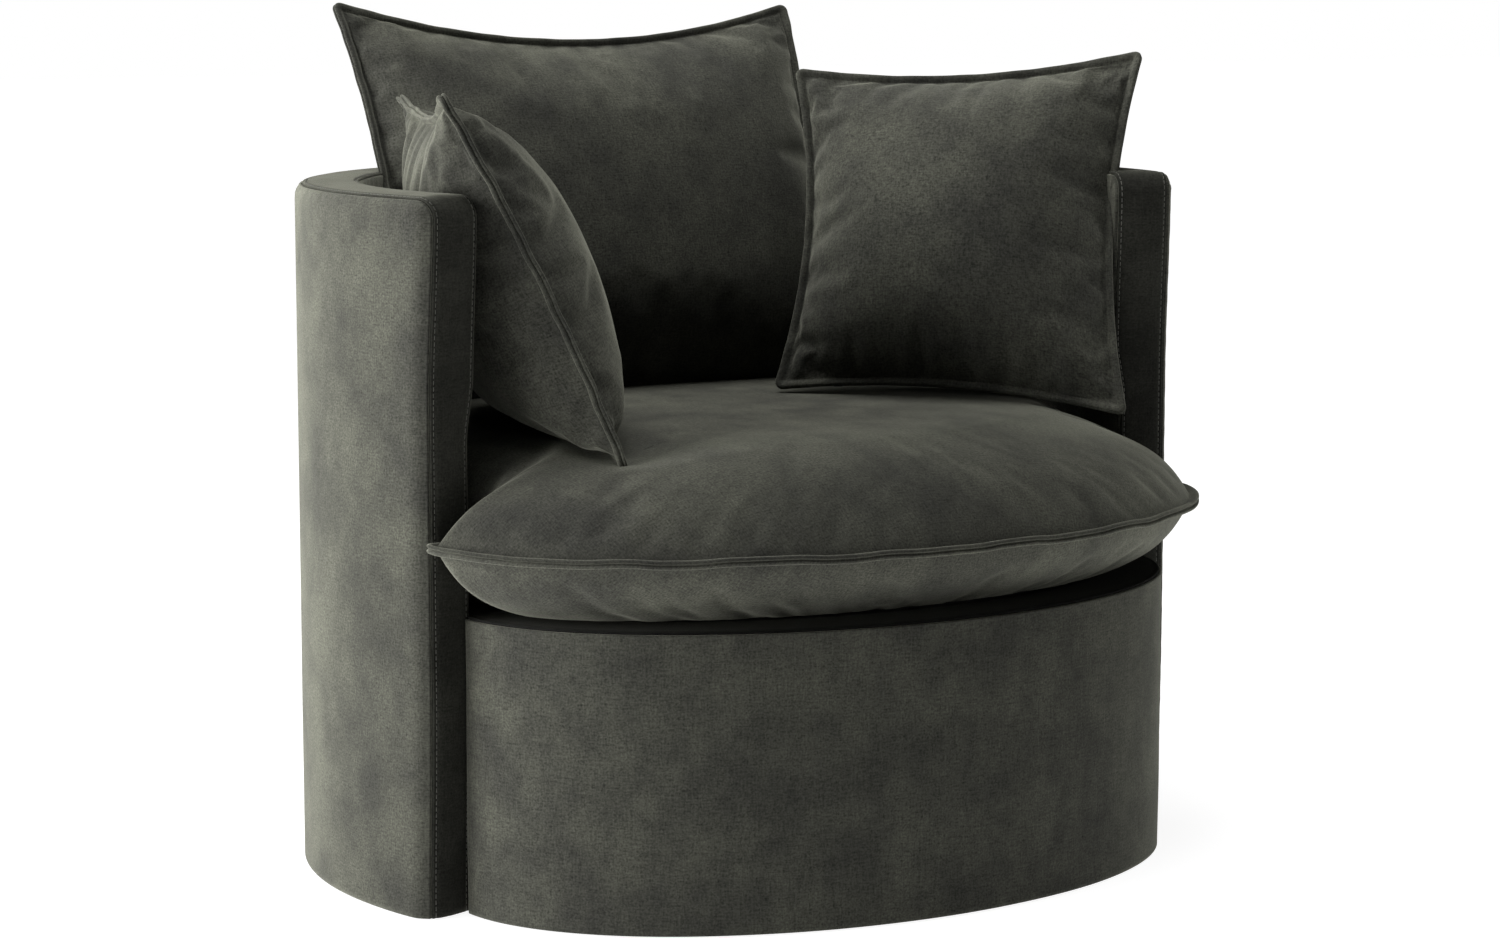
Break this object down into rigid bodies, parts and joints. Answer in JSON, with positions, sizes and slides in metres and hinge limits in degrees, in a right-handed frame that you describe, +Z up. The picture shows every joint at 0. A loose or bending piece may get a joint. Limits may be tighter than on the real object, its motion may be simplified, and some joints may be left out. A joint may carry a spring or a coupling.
{
  "type": "upholstered cuddle chair",
  "caption": "Round upholstered cuddle chair: a curved wall around a low plinth, a domed seat cushion that laps the arm fronts, a wide back cushion and square scatter pillows.",
  "frame": {"origin": "on the floor under the middle of the chair's bounding box", "axes": "+Z up, the open front of the chair faces -Y, +X towards the left arm of someone who sits in it"},
  "size_m": [1, 0.922, 0.9492],
  "materials": {
    "velvet": "mottled dark grey-green velvet with a short pile",
    "foam": "cut open-cell foam",
    "wadding": "soft white fibre wadding",
    "plywood": "bare sanded plywood",
    "hardboard": "thin bent board, matt",
    "steel": "plain spring wire and pressed clips",
    "lining": "black non-woven cloth",
    "plastic": "black moulded plastic"
  },
  "bodies": {
    "chair_base": {"shell_outer_cover": "velvet", "shell_inner_cover": "velvet", "shell_outer_wadding": "wadding", "shell_inner_foam": "foam", "shell_outer_board": "hardboard", "shell_inner_board": "hardboard", "rim_cover_strip": "velvet", "rim_foam": "foam", "top_rail": "plywood", "shell_post_1": "plywood", "shell_post_2": "plywood", "shell_post_3": "plywood", "shell_post_4": "plywood", "shell_post_5": "plywood", "base_plate": "plywood", "dust_cover": "lining", "seat_ring": "plywood", "deck_pad": "wadding", "deck_cover": "lining", "front_cover": "velvet", "front_foam": "foam", "front_board": "hardboard", "seat_upright_1": "plywood", "seat_upright_2": "plywood", "seat_upright_3": "plywood", "seat_upright_4": "plywood", "glide_1": "plastic", "glide_2": "plastic", "glide_3": "plastic", "glide_4": "plastic", "glide_5": "plastic", "seat_spring_1": "steel", "seat_spring_2": "steel", "seat_spring_3": "steel", "seat_spring_4": "steel", "spring_clip_front_1": "steel", "spring_clip_front_2": "steel", "spring_clip_front_3": "steel", "spring_clip_front_4": "steel", "spring_clip_back_1": "steel", "spring_clip_back_2": "steel", "spring_clip_back_3": "steel", "spring_clip_back_4": "steel"},
    "seat_cushion": {"seat_top_panel": "velvet", "seat_bottom_panel": "velvet", "seat_filling": "foam", "seat_zip": "plastic"},
    "back_cushion": {"back_cushion_front_panel": "velvet", "back_cushion_back_panel": "velvet", "back_cushion_filling": "wadding", "back_cushion_zip": "plastic"},
    "left_pillow": {"left_pillow_front_panel": "velvet", "left_pillow_back_panel": "velvet", "left_pillow_filling": "wadding", "left_pillow_zip": "plastic"},
    "right_pillow": {"right_pillow_front_panel": "velvet", "right_pillow_back_panel": "velvet", "right_pillow_filling": "wadding", "right_pillow_zip": "plastic"}
  },
  "joints": [
    {"name": "seat_cushion_lift", "type": "slide", "parent": "chair_base", "child": "seat_cushion", "axis": [0, 0, 1], "range_m": [0, 0.45]},
    {"name": "back_cushion_lift", "type": "slide", "parent": "seat_cushion", "child": "back_cushion", "axis": [0, 0, 1], "range_m": [0, 0.45]},
    {"name": "left_pillow_lift", "type": "slide", "parent": "back_cushion", "child": "left_pillow", "axis": [0, 0, 1], "range_m": [0, 0.45]},
    {"name": "right_pillow_lift", "type": "slide", "parent": "back_cushion", "child": "right_pillow", "axis": [0, 0, 1], "range_m": [0, 0.45]}
  ]
}
